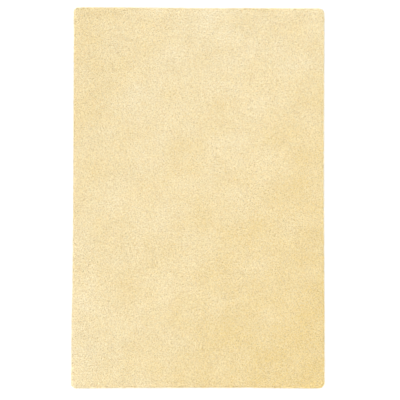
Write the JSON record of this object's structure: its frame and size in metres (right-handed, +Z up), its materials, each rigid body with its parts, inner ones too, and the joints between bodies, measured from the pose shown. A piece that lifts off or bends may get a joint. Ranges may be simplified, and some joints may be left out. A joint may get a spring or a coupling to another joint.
{
  "type": "shag rug",
  "caption": "Plain oblong shag rug: a dense, soft cut pile over a flat woven backing, with small rounded corners, lying flat on the floor.",
  "frame": {"origin": "middle of the flat underside, on the floor", "axes": "+X across the rug to its right long edge, +Y along it to its head end, +Z up through the pile"},
  "size_m": [1.206, 1.814, 0.0342],
  "materials": {
    "pile": "matt cut pile of pale straw-yellow yarn",
    "backing": "plain matt weave, under the pile"
  },
  "bodies": {
    "root": {"shag_rug": "pile"}
  },
  "joints": []
}
